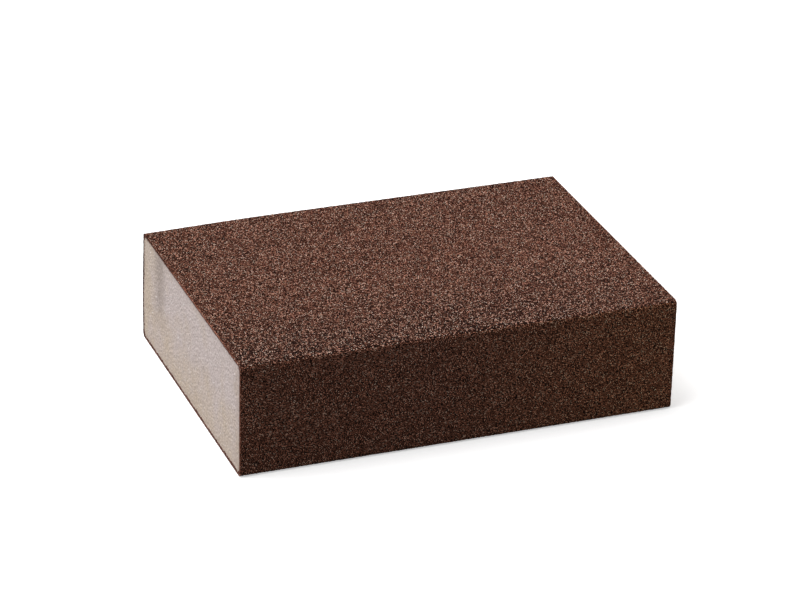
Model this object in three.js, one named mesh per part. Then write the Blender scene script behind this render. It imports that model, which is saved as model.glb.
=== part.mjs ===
// Sanding block: a foam block coated with abrasive on its four long faces, its two ends left as bare cut foam.
// Each coated face is two layers, a thin resin bond coat on the foam and a layer of grit set in it.
// Millimetres. +X is along the block, +Y runs from its front face to its rear face, and +Z is up.
// The origin is under the middle of the block, on the surface that it lies on.

import * as THREE from 'three';

// Driving dimensions, over the grit
const LENGTH = 98;
const WIDTH = 69;
const HEIGHT = 26;
const EDGE_RADIUS = 1.0;

// Coat build-up, from the foam outwards
const BOND_THICKNESS = 0.15;
const GRIT_THICKNESS = 0.35;

// The eased long edges: straight steps in each half of a corner's quarter round
const STEPS_PER_HALF_CORNER = 4;

const CORE_DEPTH = BOND_THICKNESS + GRIT_THICKNESS;

const foamMaterial = new THREE.MeshStandardMaterial({ color: 0xbaada4, roughness: 0.95, metalness: 0 });
const bondMaterial = new THREE.MeshStandardMaterial({ color: 0x3a1d14, roughness: 0.6, metalness: 0 });
const gritMaterial = new THREE.MeshStandardMaterial({ color: 0x5c4034, roughness: 0.85, metalness: 0 });

// The four coated faces, by the direction that each one looks in, anticlockwise around the section.
const COATED_FACES = [
  { name: 'front', normal: -Math.PI },
  { name: 'bottom', normal: -Math.PI / 2 },
  { name: 'rear', normal: 0 },
  { name: 'top', normal: Math.PI / 2 },
];

// Middle of the round at the corner that lies halfway between two faces' directions.
function cornerCentre(bisector) {
  const side = Math.sign(Math.cos(bisector));
  const level = Math.sign(Math.sin(bisector));
  return new THREE.Vector2(
    side * (WIDTH / 2 - EDGE_RADIUS),
    HEIGHT / 2 + level * (HEIGHT / 2 - EDGE_RADIUS),
  );
}

// Points on a corner's round, a depth in from the outer surface, from one direction to another.
function cornerArc(bisector, depth, from, to) {
  const centre = cornerCentre(bisector);
  const radius = EDGE_RADIUS - depth;
  const points = [];
  for (let step = 0; step <= STEPS_PER_HALF_CORNER; step += 1) {
    const angle = from + ((to - from) * step) / STEPS_PER_HALF_CORNER;
    const spoke = new THREE.Vector2(Math.cos(angle), Math.sin(angle));
    points.push(centre.clone().addScaledVector(spoke, radius));
  }
  return points;
}

// One face's surface line, a depth in: half of the corner before it, its flat, and half of the corner after it.
function faceLine(normal, depth) {
  const before = normal - Math.PI / 4;
  const after = normal + Math.PI / 4;
  return [
    ...cornerArc(before, depth, before, normal),
    ...cornerArc(after, depth, normal, after),
  ];
}

// A prism as long as the block: the section's x becomes the block's Y, and its y becomes Z.
function prism(outline) {
  const geometry = new THREE.ExtrudeGeometry(new THREE.Shape(outline), {
    depth: LENGTH,
    bevelEnabled: false,
  });
  geometry.translate(0, 0, -LENGTH / 2);
  const sectionToBlock = new THREE.Matrix4().makeBasis(
    new THREE.Vector3(0, 1, 0),
    new THREE.Vector3(0, 0, 1),
    new THREE.Vector3(1, 0, 0),
  );
  geometry.applyMatrix4(sectionToBlock);
  return geometry;
}

// The foam fills everything inside the bond coats. Neighbouring faces share the point on their corner.
function foamOutline() {
  return COATED_FACES.flatMap(({ normal }) => faceLine(normal, CORE_DEPTH).slice(0, -1));
}

// A coat on one face lies between two depths, and is mitred to its neighbours on the corners.
function coatOutline(normal, outerDepth, innerDepth) {
  return [
    ...faceLine(normal, outerDepth),
    ...faceLine(normal, innerDepth).reverse(),
  ];
}

function namedMesh(name, outline, material) {
  const mesh = new THREE.Mesh(prism(outline), material.clone());
  mesh.name = name;
  return mesh;
}

const sandingBlock = new THREE.Group();
sandingBlock.add(namedMesh('foam_core', foamOutline(), foamMaterial));
for (const { name, normal } of COATED_FACES) {
  const bond = coatOutline(normal, GRIT_THICKNESS, CORE_DEPTH);
  const grit = coatOutline(normal, 0, GRIT_THICKNESS);
  sandingBlock.add(namedMesh(`${name}_bond_coat`, bond, bondMaterial));
  sandingBlock.add(namedMesh(`${name}_grit`, grit, gritMaterial));
}

export default sandingBlock;
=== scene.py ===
"""A foam sanding block: a fine-celled foam core whose four long faces carry resin and abrasive grit.

The pieces are made in the order in which the block is built up: the foam, the resin on it, then the grit.
Lengths are in metres. +X is along the block, +Y is its rear face and +Z is up.
"""

import math

import bmesh
import bpy
from mathutils import Matrix, Vector


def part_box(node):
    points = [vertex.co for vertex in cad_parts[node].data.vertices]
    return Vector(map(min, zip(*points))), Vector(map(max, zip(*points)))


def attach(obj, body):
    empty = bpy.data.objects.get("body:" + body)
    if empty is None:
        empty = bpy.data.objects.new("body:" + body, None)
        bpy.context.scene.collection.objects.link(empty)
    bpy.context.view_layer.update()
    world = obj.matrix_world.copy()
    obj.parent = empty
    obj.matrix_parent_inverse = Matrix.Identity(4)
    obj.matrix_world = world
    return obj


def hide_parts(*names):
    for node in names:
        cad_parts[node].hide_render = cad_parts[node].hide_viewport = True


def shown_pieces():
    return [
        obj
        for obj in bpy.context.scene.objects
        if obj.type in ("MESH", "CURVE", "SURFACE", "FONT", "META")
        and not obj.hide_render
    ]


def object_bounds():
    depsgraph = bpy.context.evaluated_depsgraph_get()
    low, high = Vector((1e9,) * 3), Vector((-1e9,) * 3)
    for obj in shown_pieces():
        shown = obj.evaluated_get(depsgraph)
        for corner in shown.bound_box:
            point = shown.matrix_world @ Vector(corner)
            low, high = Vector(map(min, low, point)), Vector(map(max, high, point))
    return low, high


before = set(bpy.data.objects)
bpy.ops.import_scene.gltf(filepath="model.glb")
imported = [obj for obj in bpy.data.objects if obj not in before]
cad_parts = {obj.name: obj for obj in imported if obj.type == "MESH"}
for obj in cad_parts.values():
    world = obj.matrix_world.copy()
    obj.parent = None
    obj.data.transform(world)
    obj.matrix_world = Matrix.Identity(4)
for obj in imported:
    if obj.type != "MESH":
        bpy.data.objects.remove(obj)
cad_low, cad_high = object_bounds()
MM = 0.001


# Foam core.
# A block of fine-celled foam, sawn across from a long coated bar, so both of its ends are open cut cells.
# Its long sides are hidden under the coats, which are bonded to it all over.

FOAM_EDGE_RADIUS = 0.5 * MM
FOAM_EDGE_STEPS = 8
FOAM_END_PITCH = 0.22 * MM
FOAM_CELL = 0.55 * MM
FOAM_CELL_DEPTH = 0.16 * MM
FOAM_WAVE = 7 * MM
FOAM_WAVE_DEPTH = 0.12 * MM
CREASE_FROM_REAR = 12.5 * MM
CREASE_WIDTH = 2.6 * MM
CREASE_DEPTH = 0.22 * MM
CREASE_FOOT = 5 * MM
CREASE_FADE = 7 * MM
LEAST_WEIGHT = 0.01
COARSE_PITCH = 16 * MM
MOST_STEPS = 100  # in one subdivision
STRAIGHT_WITHIN = 0.0001 * MM


def start_box(name, low, high):
    """A box between two corners, with nothing else selected and its place in its mesh."""
    bpy.ops.object.select_all(action="DESELECT")
    bpy.ops.mesh.primitive_cube_add(size=1, location=(low + high) / 2, scale=high - low)
    bpy.ops.object.transform_apply(location=True, rotation=True, scale=True)
    piece = bpy.context.object
    piece.name = name
    return piece


def select_edges(piece, wanted):
    """Selects the edges, in edit mode, that wanted says yes to."""
    bpy.ops.mesh.select_mode(type="EDGE")
    bpy.ops.mesh.select_all(action="DESELECT")
    mesh = bmesh.from_edit_mesh(piece.data)
    for edge in mesh.edges:
        if wanted(edge):
            edge.select_set(True)
    bmesh.update_edit_mesh(piece.data, loop_triangles=False)


def select_faces(piece, wanted):
    """Selects the faces, in edit mode, that wanted says yes to."""
    bpy.ops.mesh.select_mode(type="FACE")
    bpy.ops.mesh.select_all(action="DESELECT")
    mesh = bmesh.from_edit_mesh(piece.data)
    mesh.normal_update()
    for face in mesh.faces:
        if wanted(face):
            face.select_set(True)
    bmesh.update_edit_mesh(piece.data, loop_triangles=False)


def runs_along(edge, axis, longer_than=0.0):
    """True for an edge that lies along one axis and is longer than a length."""
    span = edge.verts[1].co - edge.verts[0].co
    others = [abs(span[i]) for i in range(3) if i != axis]
    return max(others) < STRAIGHT_WITHIN and abs(span[axis]) > longer_than


def ease_long_edges(piece, radius, steps):
    """Rounds the four edges that run the length of the block."""
    select_edges(piece, lambda edge: runs_along(edge, 0))
    bpy.ops.mesh.bevel(offset=radius, segments=steps, profile=0.5, affect="EDGES")


def cut_flats(piece, axis, pitch, longer_than):
    """Cuts the long straight edges along one axis into steps of about one pitch.

    One subdivision has only so many steps, so it cuts coarsely and then finely."""
    mesh = bmesh.from_edit_mesh(piece.data)
    length = max(e.calc_length() for e in mesh.edges if runs_along(e, axis, longer_than))
    fine_steps = math.ceil(length / pitch / MOST_STEPS)
    coarse_steps = round(length / pitch / fine_steps)
    for steps, long_enough in ((coarse_steps, longer_than), (fine_steps, 0.5 * length / coarse_steps)):
        if steps > 1:
            select_edges(piece, lambda edge: runs_along(edge, axis, long_enough))
            bpy.ops.mesh.subdivide(number_cuts=steps - 1)


def press_in(piece, group, depth, texture=None):
    """Moves the grouped vertices along +X by a depth, or by a share of it that a texture gives."""
    sink = piece.modifiers.new("sink", "DISPLACE")
    sink.vertex_group = group
    sink.texture = texture
    sink.texture_coords = "LOCAL"
    sink.direction = "X"
    sink.mid_level = 0
    sink.strength = depth
    bpy.ops.object.modifier_apply(modifier=sink.name)


foam_low, foam_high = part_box("foam_core")
foam = start_box("foam_block", foam_low, foam_high)
bpy.ops.object.mode_set(mode="EDIT")
ease_long_edges(foam, FOAM_EDGE_RADIUS, FOAM_EDGE_STEPS)
cut_flats(foam, 1, FOAM_END_PITCH, 2 * FOAM_EDGE_RADIUS)
cut_flats(foam, 2, FOAM_END_PITCH, 2 * FOAM_EDGE_RADIUS)
cut_flats(foam, 0, COARSE_PITCH, 0)
bpy.ops.object.mode_set(mode="OBJECT")

foam_cells = bpy.data.textures.new("foam_cells", "VORONOI")
foam_cells.noise_scale = FOAM_CELL
foam_cells.noise_intensity = 1.0
foam_waves = bpy.data.textures.new("foam_saw_waves", "CLOUDS")
foam_waves.noise_scale = FOAM_WAVE
foam_waves.noise_depth = 2

for end_name, end_x, inwards in (("left_end", foam_low.x, 1), ("right_end", foam_high.x, -1)):
    end_group = foam.vertex_groups.new(name=end_name)
    at_end = [v.index for v in foam.data.vertices if abs(v.co.x - end_x) < FOAM_END_PITCH]
    end_group.add(at_end, 1.0, "REPLACE")
    press_in(foam, end_name, inwards * FOAM_WAVE_DEPTH, foam_waves)
    press_in(foam, end_name, inwards * FOAM_CELL_DEPTH, foam_cells)

# A shallow dent runs down the left end, near its rear.
crease_y = cad_high.y - CREASE_FROM_REAR
crease = foam.vertex_groups.new(name="crease")
for vertex in foam.data.vertices:
    aside = (vertex.co.y - crease_y) / CREASE_WIDTH
    rise = (vertex.co.z - CREASE_FOOT) / CREASE_FADE
    weight = math.exp(-aside * aside) * min(max(rise, 0), 1)
    if vertex.co.x < foam_low.x + 2 * FOAM_CELL_DEPTH + FOAM_WAVE_DEPTH and weight > LEAST_WEIGHT:
        crease.add([vertex.index], weight, "REPLACE")
press_in(foam, "crease", CREASE_DEPTH)

FOAM_WHITE = (0.72, 0.62, 0.60, 1)
FOAM_TAN = (0.70, 0.575, 0.465, 1)
FOAM_HOLLOW_SHADE = (0.32, 0.26, 0.23, 1)
FOAM_TORN_WALL_HIGHLIGHT = (1.0, 0.96, 0.93, 1)
FOAM_CREASE_SHADE = (0.36, 0.295, 0.255, 1)
FOAM_RIM = (0.42, 0.32, 0.27, 1)
RESIN_STAIN = (0.12, 0.042, 0.028, 1)
TAN_HEIGHT = 17 * MM
TAN_REAR_START = 13 * MM
TAN_REAR_FULL = 3 * MM
TAN_PATCH = 7 * MM
TAN_SWING = 0.4
HOLLOW_SIZE = 0.4 * MM
HOLLOW_SHADE_SHARE = 0.7
TORN_WALL_SPACING = 0.7 * MM
TORN_WALL_CLUSTER = 0.9 * MM
CREASE_SHADE_PATCH = 3 * MM
RIM_WIDTH = 2.2 * MM
RIM_SHARE = 0.34
FRONT_RIM_WIDTH = 6 * MM
FRONT_RIM_SHARE = 0.45
SOAK_PATCH = 0.5 * MM
SOAK_DEEPEST = 0.4 * MM
SOAK_SHORTFALL = 0.05 * MM
SOAK_FADE = 0.08 * MM
FOAM_PORE = 0.3 * MM
FOAM_PORE_DEPTH = 0.1 * MM
COAT_DEPTH = 0.5 * MM
COAT_EDGE_RADIUS = 1.0 * MM
SOAKED_EDGE_RADIUS = 2.2 * MM


def new_finish(name):
    """A new material, with its node tree, its Principled surface and the Object coordinates."""
    material = bpy.data.materials.new(name)
    material.use_nodes = True
    tree = material.node_tree
    surface = tree.nodes["Principled BSDF"]
    place = tree.nodes.new("ShaderNodeTexCoord").outputs["Object"]
    return material, tree, surface, place


def add_node(tree, kind, inputs=(), **settings):
    """One node with its settings, and its inputs joined or set."""
    node = tree.nodes.new(kind)
    for key, value in settings.items():
        setattr(node, key, value)
    for key, value in dict(inputs).items():
        if isinstance(value, bpy.types.NodeSocket):
            tree.links.new(value, node.inputs[key])
        else:
            node.inputs[key].default_value = value
    return node


def add_noise(tree, place, size, detail=2.0, roughness=0.5):
    """Soft noise whose lumps are about one size across, as a value from 0 to 1."""
    inputs = {"Vector": place, "Scale": 1 / size, "Detail": detail, "Roughness": roughness}
    return add_node(tree, "ShaderNodeTexNoise", inputs).outputs["Fac"]


def add_cells(tree, place, size):
    """Cells about one size across, with a colour each and the distance from their middles."""
    return add_node(tree, "ShaderNodeTexVoronoi", {"Vector": place, "Scale": 1 / size})


def rescale(tree, value, low, high, to_low=0.0, to_high=1.0):
    """Maps a value's range to another, and holds it there."""
    inputs = {"Value": value, "From Min": low, "From Max": high, "To Min": to_low, "To Max": to_high}
    return add_node(tree, "ShaderNodeMapRange", inputs).outputs["Result"]


def blend_colours(tree, share, first, second, how="MIX"):
    """Mixes the second colour into the first, or multiplies the first by it, by a share."""
    node = add_node(tree, "ShaderNodeMix", {"Factor": share}, data_type="RGBA", blend_type=how)
    for socket, colour in ((node.inputs[6], first), (node.inputs[7], second)):
        if isinstance(colour, bpy.types.NodeSocket):
            tree.links.new(colour, socket)
        else:
            socket.default_value = colour
    return node.outputs[2]


def work_out(tree, operation, first, second=0.0):
    """One sum on two values."""
    return add_node(tree, "ShaderNodeMath", {0: first, 1: second}, operation=operation).outputs[0]


def depth_in_skin(tree, edge_radius):
    """How far a point lies under the block's four long faces, when their edges have a radius.

    It is right down to that radius, and stays at it further in. The place is the one that each vertex
    had before the block was pressed out of shape."""
    rest_place = add_node(tree, "ShaderNodeAttribute", attribute_name="rest_place").outputs["Vector"]
    _, across, upwards = add_node(tree, "ShaderNodeSeparateXYZ", {0: rest_place}).outputs
    centre = (cad_low + cad_high) / 2
    flat = (cad_high - cad_low) / 2 - Vector((0, edge_radius, edge_radius))
    squares = []
    for value, middle, half in ((across, centre.y, flat.y), (upwards, centre.z, flat.z)):
        offset = work_out(tree, "ABSOLUTE", work_out(tree, "SUBTRACT", value, middle))
        beyond = work_out(tree, "MAXIMUM", work_out(tree, "SUBTRACT", offset, half), 0)
        squares.append(work_out(tree, "MULTIPLY", beyond, beyond))
    reach = work_out(tree, "SQRT", work_out(tree, "ADD", *squares))
    return work_out(tree, "SUBTRACT", edge_radius, reach)


foam_finish, tree, surface, place = new_finish("foam_cut_cells")
along, across, upwards = add_node(tree, "ShaderNodeSeparateXYZ", {0: place}).outputs
# The lower part and the rear of the foam are tan, and the rest is a cooler white.
tan_upwards = rescale(tree, upwards, cad_low.z, cad_low.z + TAN_HEIGHT, 1, 0)
tan_rear = rescale(tree, across, cad_high.y - TAN_REAR_START, cad_high.y - TAN_REAR_FULL)
tan_patches = rescale(tree, add_noise(tree, place, TAN_PATCH), 0.3, 0.7, -TAN_SWING, TAN_SWING)
tan_share = work_out(tree, "ADD", work_out(tree, "MAXIMUM", tan_upwards, tan_rear), tan_patches)
foam_colour = blend_colours(tree, rescale(tree, tan_share, 0, 1), FOAM_WHITE, FOAM_TAN)
# Open cells are darkened in their hollows with painted shade, and single torn cell walls that catch the
# light get painted highlights.
hollow_shade = rescale(tree, add_noise(tree, place, HOLLOW_SIZE, 3, 0.7), 0.46, 0.68, 0, HOLLOW_SHADE_SHARE)
foam_colour = blend_colours(tree, hollow_shade, foam_colour, FOAM_HOLLOW_SHADE)
# The pale specks on torn cell walls are painted highlights.
from_wall = add_cells(tree, place, TORN_WALL_SPACING).outputs["Distance"]
clusters = rescale(tree, add_noise(tree, place, TORN_WALL_CLUSTER), 0.45, 0.7)
torn_wall_highlight = work_out(tree, "MULTIPLY", rescale(tree, from_wall, 0.12, 0.35, 1, 0), clusters)
foam_colour = blend_colours(tree, torn_wall_highlight, foam_colour, FOAM_TORN_WALL_HIGHLIGHT)
# The dent in the left end is darkened with painted shade, in uneven patches.
aside = work_out(tree, "ABSOLUTE", work_out(tree, "SUBTRACT", across, crease_y))
crease_shade = rescale(tree, aside, 0.3 * CREASE_WIDTH, 2.0 * CREASE_WIDTH, 1, 0)
crease_shade_foot = rescale(tree, upwards, CREASE_FOOT, CREASE_FOOT + 1.5 * CREASE_FADE)
crease_shade_patches = rescale(tree, add_noise(tree, place, CREASE_SHADE_PATCH, 3), 0.25, 0.65, 0.3, 0.8)
crease_shade_end = rescale(tree, along, cad_low.x / 2, 0, 1, 0)
for share in (crease_shade_foot, crease_shade_patches, crease_shade_end):
    crease_shade = work_out(tree, "MULTIPLY", crease_shade, share)
foam_colour = blend_colours(tree, crease_shade, foam_colour, FOAM_CREASE_SHADE)
# The rim is greyer, most widely at the front, and resin has soaked unevenly into its outermost cells.
from_coat = work_out(tree, "SUBTRACT", depth_in_skin(tree, SOAKED_EDGE_RADIUS), COAT_DEPTH)
rim = rescale(tree, from_coat, 0, RIM_WIDTH, RIM_SHARE, 0)
front_rim = rescale(
    tree, across, cad_low.y + COAT_DEPTH, cad_low.y + FRONT_RIM_WIDTH, FRONT_RIM_SHARE, 0
)
rim = work_out(tree, "MAXIMUM", rim, front_rim)
foam_colour = blend_colours(tree, rim, foam_colour, FOAM_RIM)
soak_patches = add_noise(tree, place, SOAK_PATCH, 3, 0.6)
raggedness = rescale(tree, soak_patches, 0.35, 0.65, SOAK_SHORTFALL, -SOAK_DEEPEST)
soaked = rescale(tree, work_out(tree, "ADD", from_coat, raggedness), 0, SOAK_FADE, 1, 0)
foam_colour = blend_colours(tree, soaked, foam_colour, RESIN_STAIN)
tree.links.new(foam_colour, surface.inputs["Base Color"])
tree.links.new(rescale(tree, hollow_shade, 0, 0.5, 0.82, 0.98), surface.inputs["Roughness"])
surface.inputs["Specular IOR Level"].default_value = 0.2
foam_bump = add_node(
    tree,
    "ShaderNodeBump",
    {"Height": add_noise(tree, place, FOAM_PORE, 3), "Strength": 0.4, "Distance": FOAM_PORE_DEPTH},
)
tree.links.new(foam_bump.outputs["Normal"], surface.inputs["Normal"])
foam.data.materials.append(foam_finish)

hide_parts("foam_core")
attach(foam, "root")


# Bond coats.
# A thin film of brown resin on each long face of the foam, in which the grit is set.
# The four films meet along the eased long edges, and show only as a dark line around the two cut ends.

BOND_TOP_DEPTH = 0.35 * MM
SECTION_PITCH = 0.27 * MM
EDGE_STEPS = 8
SIDES = ("top", "front", "bottom", "rear")
RESIN_PATCH = 0.6 * MM
RESIN_BROWN = (0.035, 0.014, 0.009, 1)
RESIN_RED = (0.15, 0.050, 0.032, 1)


def open_tube(name, depth, end_gap, lengthways_pitch):
    """The block's four long faces as one skin at a depth under its outer surface, open at both ends.

    It stops short of the ends by a gap, and is cut into small steps around and chosen ones lengthways."""
    inset = Vector((end_gap, depth, depth))
    radius = COAT_EDGE_RADIUS - depth
    tube = start_box(name, cad_low + inset, cad_high - inset)
    bpy.ops.object.mode_set(mode="EDIT")
    ease_long_edges(tube, radius, EDGE_STEPS)
    select_faces(tube, lambda face: abs(face.normal.x) > 0.9)
    bpy.ops.mesh.delete(type="FACE")
    # The flats are cut into equally many steps at every depth, so that skins can be joined at their ends.
    for axis, size in ((1, cad_high.y - cad_low.y), (2, cad_high.z - cad_low.z)):
        flat = size - 2 * COAT_EDGE_RADIUS
        cut_flats(tube, axis, flat / round(flat / SECTION_PITCH), 2 * radius)
    cut_flats(tube, 0, lengthways_pitch, 0)
    bpy.ops.object.mode_set(mode="OBJECT")
    return tube


def side_of(point):
    """Which face of the block a point on its skin belongs to: the one that it stands out on most."""
    standing_out = {
        "top": point.z - cad_high.z,
        "bottom": cad_low.z - point.z,
        "front": cad_low.y - point.y,
        "rear": point.y - cad_high.y,
    }
    return max(standing_out, key=standing_out.get)


def take_side(tube, face_sides, side):
    """A copy of one side of a tube, with a mesh of its own."""
    bpy.ops.object.select_all(action="DESELECT")
    tube.select_set(True)
    bpy.context.view_layer.objects.active = tube
    bpy.ops.object.duplicate(linked=False)
    part = bpy.context.object
    bpy.ops.object.mode_set(mode="EDIT")
    select_faces(part, lambda face: face_sides[face.index] != side)
    bpy.ops.mesh.delete(type="FACE")
    bpy.ops.object.mode_set(mode="OBJECT")
    return part


def close_layer(skin, bed, name):
    """Joins an outer skin and the smooth bed under it into one closed layer."""
    bpy.ops.object.select_all(action="DESELECT")
    bed.select_set(True)
    skin.select_set(True)
    bpy.context.view_layer.objects.active = skin
    bpy.ops.object.join()
    skin.name = name
    skin.data.name = name
    bpy.ops.object.mode_set(mode="EDIT")
    reach = 0.5 * SECTION_PITCH
    for end in (cad_low.x, cad_high.x):
        select_edges(skin, lambda e: e.is_boundary and all(abs(v.co.x - end) < reach for v in e.verts))
        bpy.ops.mesh.bridge_edge_loops()
    bpy.ops.mesh.select_all(action="SELECT")
    bpy.ops.mesh.fill_holes(sides=0)
    bpy.ops.mesh.select_all(action="SELECT")
    bpy.ops.mesh.normals_make_consistent(inside=False)
    bpy.ops.mesh.quads_convert_to_tris(quad_method="BEAUTY", ngon_method="BEAUTY")
    bpy.ops.object.mode_set(mode="OBJECT")
    return skin


bond_finish, tree, surface, place = new_finish("bond_resin")
resin_shade = rescale(tree, add_noise(tree, place, RESIN_PATCH), 0.3, 0.7)
resin_colour = blend_colours(tree, resin_shade, RESIN_BROWN, RESIN_RED)
tree.links.new(resin_colour, surface.inputs["Base Color"])
tree.links.new(rescale(tree, resin_shade, 0, 1, 0.45, 0.7), surface.inputs["Roughness"])

bond_skin = open_tube("bond_skin", BOND_TOP_DEPTH, 0, COARSE_PITCH)
bond_bed = open_tube("bond_bed", COAT_DEPTH, 0, COARSE_PITCH)
skin_sides = [side_of(face.center) for face in bond_skin.data.polygons]
bed_sides = [side_of(face.center) for face in bond_bed.data.polygons]
for side in SIDES:
    film = close_layer(
        take_side(bond_skin, skin_sides, side),
        take_side(bond_bed, bed_sides, side),
        f"{side}_bond_film",
    )
    film.data.materials.append(bond_finish)
    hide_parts(f"{side}_bond_coat")
    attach(film, "root")
for tube in (bond_skin, bond_bed):
    bpy.data.objects.remove(tube)


# Grit layers.
# Crushed brown mineral grains, crowded into the resin on each long face and locked by a second resin coat.
# The four layers meet along the eased long edges, and are cut off ragged with the foam at the ends.

GRAIN_PITCH = SECTION_PITCH
GRAIN_RELIEF = 0.09 * MM
GRAIN_DRIFT = 0.05 * MM

grit_skin = open_tube("grit_skin", GRAIN_RELIEF, GRAIN_DRIFT, GRAIN_PITCH)
skin_sides = [side_of(face.center) for face in grit_skin.data.polygons]
bpy.ops.object.mode_set(mode="EDIT")
bpy.ops.mesh.select_all(action="SELECT")
bpy.ops.transform.vertex_random(offset=GRAIN_RELIEF - GRAIN_DRIFT, normal=1.0, seed=3)
bpy.ops.transform.vertex_random(offset=GRAIN_DRIFT, normal=0.0, seed=11)
bpy.ops.object.mode_set(mode="OBJECT")
grit_bed = open_tube("grit_bed", BOND_TOP_DEPTH, GRAIN_DRIFT, COARSE_PITCH)
bed_sides = [side_of(face.center) for face in grit_bed.data.polygons]

GRAIN_SIZE = 0.22 * MM
# Grain tones differ at random; the two palest stops are painted glints, and the near-black lowest stop is
# partly painted shade between grains.
GRAIN_TONES_AND_GLINTS = (
    (0.00, (0.024, 0.0072, 0.0044, 1)),
    (0.40, (0.148, 0.051, 0.031, 1)),
    (0.70, (0.422, 0.160, 0.101, 1)),
    (0.86, (0.930, 0.440, 0.300, 1)),
    (1.00, (1.000, 0.820, 0.670, 1)),
)
# Along the front of each wide face the pale grains are painted as greyer glints, and the dark ones are
# darkened as painted shade.
FRONT_PATCH_FULL = 4 * MM
FRONT_PATCH_END = 26 * MM
FRONT_PATCH_FADES_FROM = 10 * MM
FRONT_PATCH_FADES_TO = 45 * MM
FRONT_PATCH_LEAST = 0.3
FRONT_GLINT_TINTS = ((0.30, 0.30, 0.30, 1), (1.00, 1.02, 1.04, 1))
RIGHT_PATCH_START = -5 * MM
RIGHT_PATCH_FULL = 40 * MM
RIGHT_TINTS = ((1.26, 1.24, 1.04, 1), (1.26, 1.24, 1.04, 1))
DARK_SHADE = 0.45
PALE_SHADE = 0.85
NARROW_FACE_EVENNESS = 0.45
EVEN_BROWN = (0.320, 0.130, 0.080, 1)
GAP_SHADE = (0.006, 0.0021, 0.0012, 1)
GAP_START = 0.26
GAP_FULL = 0.60
DEEP_SHADE_SHARE = 0.2
GLINTING = 0.84
GLINTING_FADE = 0.02
CHIP_SIZE = 0.16 * MM
CHIP_DEPTH = 0.08 * MM
CUT_EDGE_RED = (0.26, 0.080, 0.050, 1)
CUT_EDGE_WIDTH = 1.6 * MM
CUT_FACE_WIDTH = 0.12 * MM


def front_glint_part(tree, along, across):
    """How much a place on a wide face is in its front patch of painted glints and deeper painted shade,
    which fades to the rear and to the right.
    """
    share = rescale(tree, across, cad_low.y + FRONT_PATCH_FULL, cad_low.y + FRONT_PATCH_END, 1, 0)
    fade = rescale(tree, along, FRONT_PATCH_FADES_FROM, FRONT_PATCH_FADES_TO, 1, FRONT_PATCH_LEAST)
    return work_out(tree, "MULTIPLY", share, fade)


def right_part(tree, along, _across):
    """How much a place on a narrow face is in its right-hand patch, which fades to the left."""
    return rescale(tree, along, RIGHT_PATCH_START, RIGHT_PATCH_FULL)


def grit_finish(name, evenness, patch, patch_tints):
    """Brown grains that stand out of dark resin, with painted shade in the gaps between them.

    Their tones are drawn together by an evenness from 0 to 1. In one patch of the face the dark grains
    and the pale ones are each multiplied by a tint."""
    material, tree, surface, place = new_finish(name)
    cells = add_cells(tree, place, GRAIN_SIZE)
    shade, facet, _ = add_node(tree, "ShaderNodeSeparateColor", {0: cells.outputs["Color"]}).outputs
    tones = add_node(tree, "ShaderNodeValToRGB", {0: shade})
    ramp = tones.color_ramp
    while len(ramp.elements) < len(GRAIN_TONES_AND_GLINTS):
        ramp.elements.new(0.5)
    for stop, (position, colour) in zip(ramp.elements, GRAIN_TONES_AND_GLINTS):
        stop.position = position
        stop.color = colour
    colour = blend_colours(tree, evenness, tones.outputs["Color"], EVEN_BROWN)
    along, across, _ = add_node(tree, "ShaderNodeSeparateXYZ", {0: place}).outputs
    tint = blend_colours(tree, rescale(tree, shade, DARK_SHADE, PALE_SHADE), *patch_tints)
    colour = blend_colours(tree, patch(tree, along, across), colour, tint, "MULTIPLY")
    # Close to the cut ends the grains are chipped, and show redder resin.
    from_end = work_out(tree, "SUBTRACT", cad_high.x, work_out(tree, "ABSOLUTE", along))
    chipped = rescale(tree, from_end, 0, CUT_EDGE_WIDTH, 0.4, 0)
    colour = blend_colours(tree, chipped, colour, CUT_EDGE_RED)
    # Painted shade darkens the gaps between the grains and the deepest parts of the layer, but not where
    # the layer was cut through.
    uncut = rescale(tree, from_end, GRAIN_DRIFT, GRAIN_DRIFT + CUT_FACE_WIDTH)
    depth = depth_in_skin(tree, COAT_EDGE_RADIUS)
    deep_shade = rescale(tree, depth, 0.9 * GRAIN_RELIEF, 1.3 * GRAIN_RELIEF, 0, DEEP_SHADE_SHARE)
    between = rescale(tree, cells.outputs["Distance"], GAP_START, GAP_FULL)
    sunk_shade = work_out(tree, "MULTIPLY", work_out(tree, "MAXIMUM", between, deep_shade), uncut)
    colour = blend_colours(tree, sunk_shade, colour, GAP_SHADE)
    tree.links.new(colour, surface.inputs["Base Color"])
    # Only some grains show a clean, glinting facet.
    dullness = rescale(tree, facet, GLINTING - GLINTING_FADE, GLINTING + GLINTING_FADE, 0.8, 0.24)
    tree.links.new(work_out(tree, "MAXIMUM", dullness, sunk_shade), surface.inputs["Roughness"])
    surface.inputs["Specular IOR Level"].default_value = 0.07
    chips = add_node(
        tree,
        "ShaderNodeBump",
        {"Height": add_noise(tree, place, CHIP_SIZE), "Strength": 0.8, "Distance": CHIP_DEPTH},
    )
    tree.links.new(chips.outputs["Normal"], surface.inputs["Normal"])
    return material


# The grains on the two narrow faces are painted more even in tone, as they catch no glints, and warmer to
# the right.
wide_face_grit = grit_finish("brown_grit_wide_faces", 0.0, front_glint_part, FRONT_GLINT_TINTS)
narrow_face_grit = grit_finish(
    "brown_grit_narrow_faces", NARROW_FACE_EVENNESS, right_part, RIGHT_TINTS
)
for side in SIDES:
    layer = close_layer(
        take_side(grit_skin, skin_sides, side),
        take_side(grit_bed, bed_sides, side),
        f"{side}_grit_layer",
    )
    layer.data.materials.append(narrow_face_grit if side in ("front", "rear") else wide_face_grit)
    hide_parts(f"{side}_grit")
    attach(layer, "root")
for tube in (grit_skin, grit_bed):
    bpy.data.objects.remove(tube)


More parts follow.
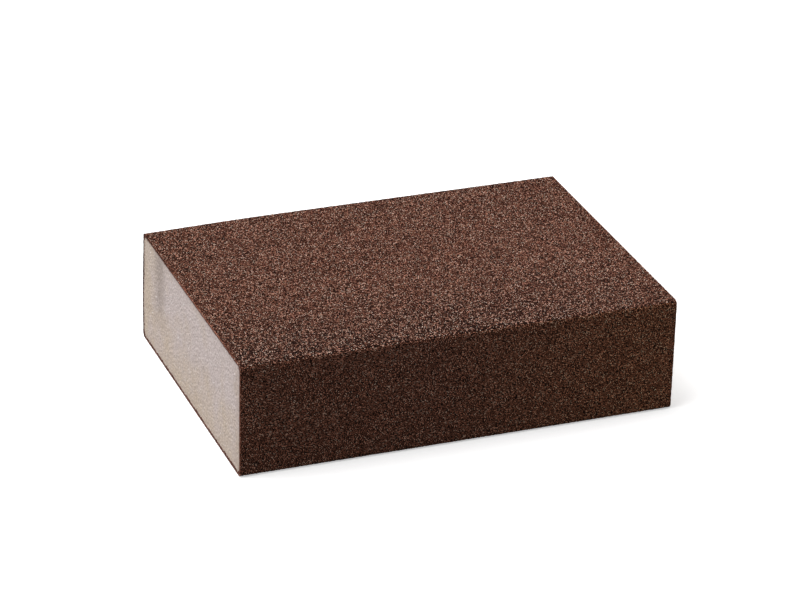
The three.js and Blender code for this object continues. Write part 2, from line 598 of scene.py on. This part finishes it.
# Crushed corner.
# The top rear corner at the left end is pressed down and in, as soft foam is when it is handled.
# Every piece keeps a note of its rest place, then yields to one lattice, so that the layers stay together.

CAGE_POINTS = (6, 4, 3)
CORNER_PRESS = Vector((0.45, -0.2, -0.75)) * MM
CAGE_EDGE = 0.49  # the cage's points run from -0.5 to 0.5

bpy.ops.object.select_all(action="DESELECT")
bpy.ops.object.add(type="LATTICE", location=(cad_low + cad_high) / 2)
cage = bpy.context.object
cage.name = "soft_corner_cage"
cage.scale = cad_high - cad_low
cage.data.points_u, cage.data.points_v, cage.data.points_w = CAGE_POINTS
for point in cage.data.points:
    if point.co.x < -CAGE_EDGE and min(point.co.y, point.co.z) > CAGE_EDGE:
        point.co_deform = Vector(
            [rest + press / size for rest, press, size in zip(point.co, CORNER_PRESS, cage.scale)]
        )
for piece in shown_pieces():
    rest_places = [0.0] * (3 * len(piece.data.vertices))
    piece.data.vertices.foreach_get("co", rest_places)
    rest = piece.data.attributes.new("rest_place", "FLOAT_VECTOR", "POINT")
    rest.data.foreach_set("vector", rest_places)
    yielding = piece.modifiers.new("yielding", "LATTICE")
    yielding.object = cage
    bpy.context.view_layer.objects.active = piece
    bpy.ops.object.modifier_apply(modifier=yielding.name)
bpy.data.objects.remove(cage)


# Floor.
# A plain pale studio table, wide enough to fill the view from any side.

FLOOR_SIZE = 40
FLOOR_PATCH = 0.4
FLOOR_PALE = (0.90, 0.90, 0.90, 1)
FLOOR_PALER = (0.92, 0.92, 0.92, 1)
FLOOR_BOUNCE = (0.3, 0.3, 0.3, 1)
FLOOR_LIFT = 0.45
bpy.ops.object.select_all(action="DESELECT")
bpy.ops.mesh.primitive_plane_add(size=FLOOR_SIZE, location=(0, 0, cad_low.z))
floor = bpy.context.object
floor.name = "studio_floor"
floor_finish, tree, surface, place = new_finish("pale_table")
floor_shade = rescale(tree, add_noise(tree, place, FLOOR_PATCH), 0.3, 0.7)
floor_colour = blend_colours(tree, floor_shade, FLOOR_PALE, FLOOR_PALER)
# The table looks pale, but throws back little light, so that the block keeps a shaded side.
seen_directly = tree.nodes.new("ShaderNodeLightPath").outputs["Is Camera Ray"]
floor_colour = blend_colours(tree, seen_directly, FLOOR_BOUNCE, floor_colour)
tree.links.new(floor_colour, surface.inputs["Base Color"])
# It glows a little as well, so that the shadow on it stays faint.
surface.inputs["Emission Color"].default_value = (1, 1, 1, 1)
tree.links.new(rescale(tree, seen_directly, 0, 1, 0, FLOOR_LIFT), surface.inputs["Emission Strength"])
surface.inputs["Roughness"].default_value = 0.9
surface.inputs["Specular IOR Level"].default_value = 0.1
floor.data.materials.append(floor_finish)


# Light.
# One broad soft light from above and the left, a weaker one low on the right, and an even pale room.

KEY_AZIMUTH = 250
KEY_ELEVATION = 58
KEY_SOFTNESS = 55
KEY_STRENGTH = 2.8
FILL_AZIMUTH = 98
FILL_ELEVATION = 12
FILL_SOFTNESS = 30
FILL_STRENGTH = 0.8
ROOM_STRENGTH = 0.33


def towards(azimuth, elevation):
    """The direction towards a place in the sky, its azimuth counted from the front, in degrees."""
    turn, lift = math.radians(azimuth), math.radians(elevation)
    return Vector((math.sin(turn) * math.cos(lift), -math.cos(turn) * math.cos(lift), math.sin(lift)))


def add_sun(name, azimuth, elevation, softness, strength):
    """A soft distant light."""
    bpy.ops.object.light_add(type="SUN")
    sun = bpy.context.object
    sun.name = name
    sun.data.energy = strength
    sun.data.angle = math.radians(softness)
    sun.rotation_mode = "QUATERNION"
    sun.rotation_quaternion = towards(azimuth, elevation).to_track_quat("Z", "Y")


add_sun("key_light", KEY_AZIMUTH, KEY_ELEVATION, KEY_SOFTNESS, KEY_STRENGTH)
add_sun("fill_light", FILL_AZIMUTH, FILL_ELEVATION, FILL_SOFTNESS, FILL_STRENGTH)

room = bpy.data.worlds.new("pale_room")
bpy.context.scene.world = room
room.use_nodes = True
tree = room.node_tree
backdrop = tree.nodes["Background"]
backdrop.inputs["Color"].default_value = (1, 1, 1, 1)
seen_directly = tree.nodes.new("ShaderNodeLightPath").outputs["Is Camera Ray"]
strength = rescale(tree, seen_directly, 0, 1, ROOM_STRENGTH, 1.0)
tree.links.new(strength, backdrop.inputs["Strength"])
bpy.context.scene.view_settings.view_transform = "Standard"


# Camera.
# A long lens that looks down on the block from a little to the left of its front.

CAMERA_AZIMUTH = -21.28
CAMERA_ELEVATION = 26.2
CAMERA_ROLL = 1.42
CAMERA_DISTANCE = 0.7575
CAMERA_LENS = 156.2
CAMERA_SENSOR = 36
CAMERA_AIM = Vector((-0.0002, 0.0020, 0.0166))

back = towards(CAMERA_AZIMUTH, CAMERA_ELEVATION)
bpy.ops.object.camera_add(location=CAMERA_AIM + back * CAMERA_DISTANCE)
camera = bpy.context.object
camera.name = "main_camera"
camera.data.sensor_width = CAMERA_SENSOR
camera.data.lens = CAMERA_LENS
camera.rotation_mode = "QUATERNION"
roll = Matrix.Rotation(math.radians(CAMERA_ROLL), 4, "Z").to_quaternion()
camera.rotation_quaternion = back.to_track_quat("Z", "Y") @ roll
bpy.context.scene.camera = camera
